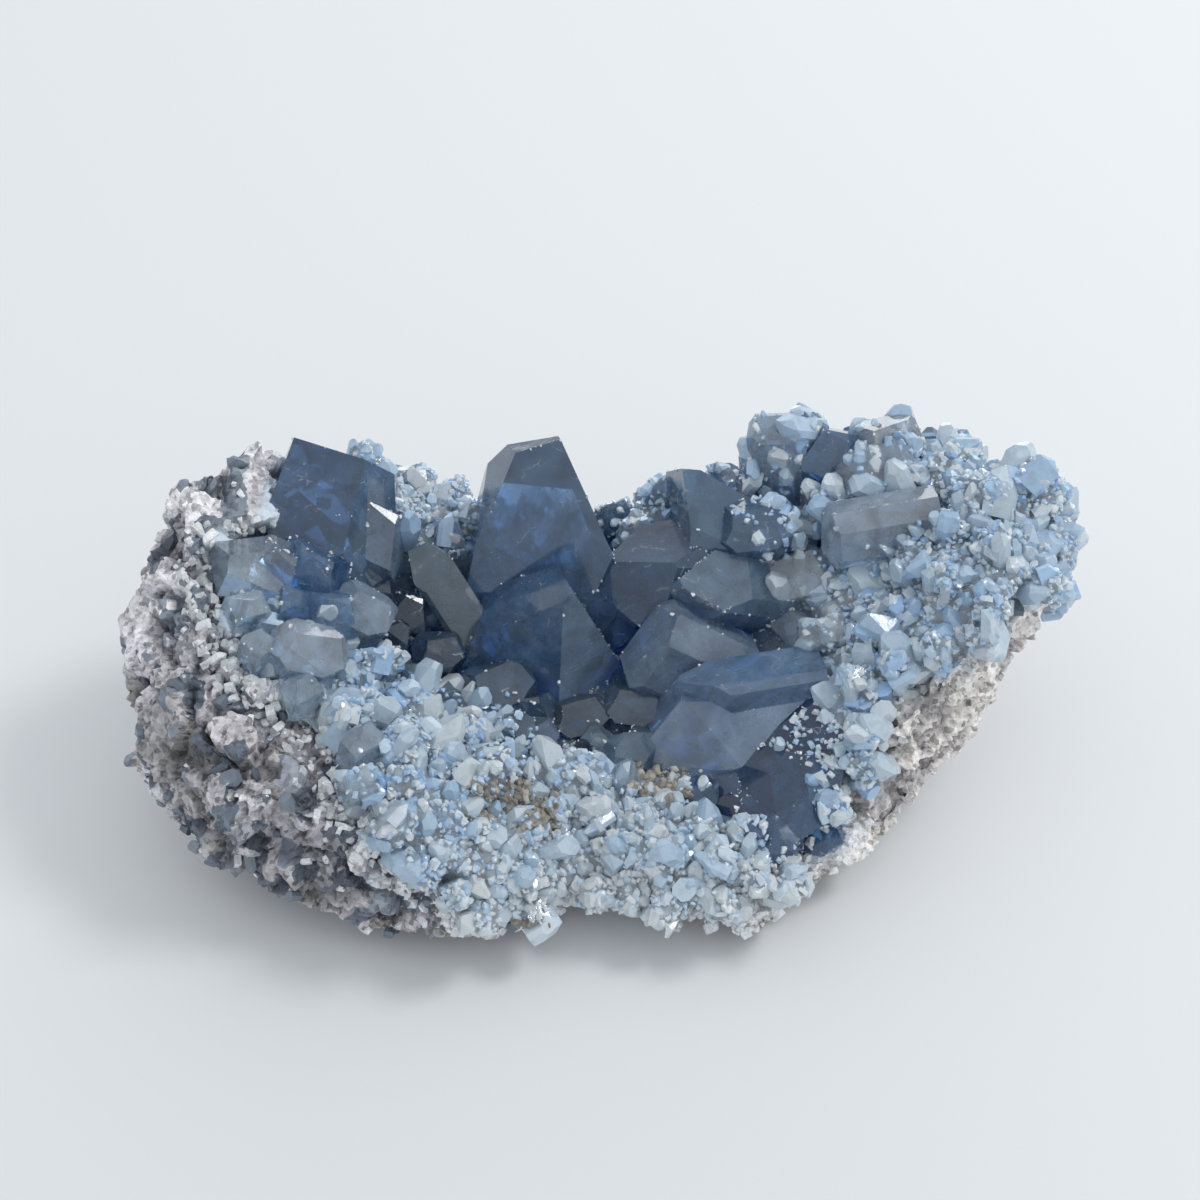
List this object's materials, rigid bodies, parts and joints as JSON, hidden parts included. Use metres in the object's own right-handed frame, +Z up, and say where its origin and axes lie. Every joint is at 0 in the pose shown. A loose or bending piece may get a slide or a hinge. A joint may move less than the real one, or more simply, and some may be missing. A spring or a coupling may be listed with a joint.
{
  "type": "crystal geode",
  "caption": "Broken geode of grey rock whose open hollow is lined with blue celestite crystals, from sugary druse to large blocky blades; it rests on a small flat spot.",
  "frame": {"origin": "on the resting surface, under the middle of the whole piece", "axes": "+X along the piece towards the higher lobe with the outer crystals, +Y from its low front edge to the back, +Z up"},
  "size_m": [0.1272, 0.0772, 0.0448],
  "materials": {
    "matrix_rock": "rough broken rock, dull",
    "celestite": "clear to milky crystal with glassy flat faces"
  },
  "bodies": {
    "root": {"matrix": "matrix_rock", "crystal_crust": "celestite"}
  },
  "joints": []
}
